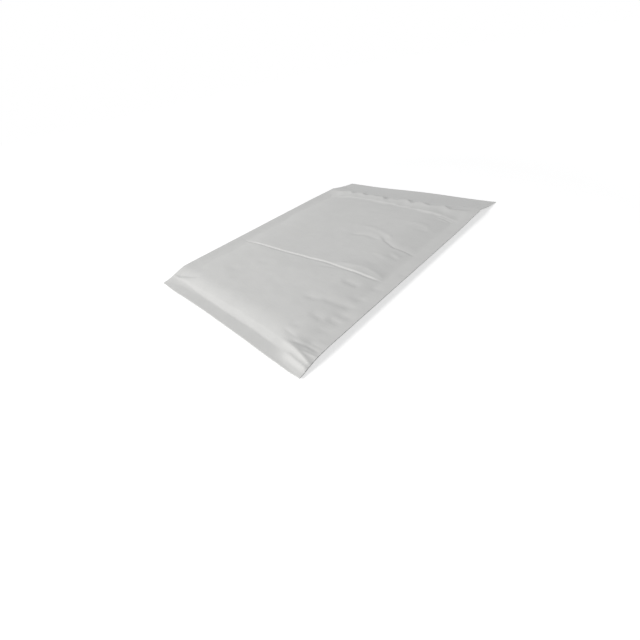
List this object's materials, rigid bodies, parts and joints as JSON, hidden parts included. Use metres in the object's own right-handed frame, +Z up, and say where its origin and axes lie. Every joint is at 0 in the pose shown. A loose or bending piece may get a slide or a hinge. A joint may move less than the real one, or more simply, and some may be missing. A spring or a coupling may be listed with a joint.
{
  "type": "padded envelope",
  "caption": "Bubble-lined white paper mailing envelope, empty and open, with a sealing flap that hangs from its mouth.",
  "frame": {"origin": "middle of the envelope's footprint, flap included, on the flat back panel that it lies on", "axes": "+X across the envelope from its left side to its right, +Y from the closed end towards the mouth and the flap, +Z up out of the front panel"},
  "size_m": [0.216, 0.3232, 0.0128],
  "materials": {
    "white_paper": "satin white paper, smooth, lightly creased",
    "bubble_film": "clear polyethylene bubble film, glossy",
    "glue": "amber hot-melt, tacky, smooth",
    "liner_paper": "silicone-coated paper, slightly glossy"
  },
  "bodies": {
    "root": {"outer_sheet": "white_paper", "bubble_lining": "bubble_film", "glue_strip": "glue", "peel_liner": "liner_paper"}
  },
  "joints": []
}
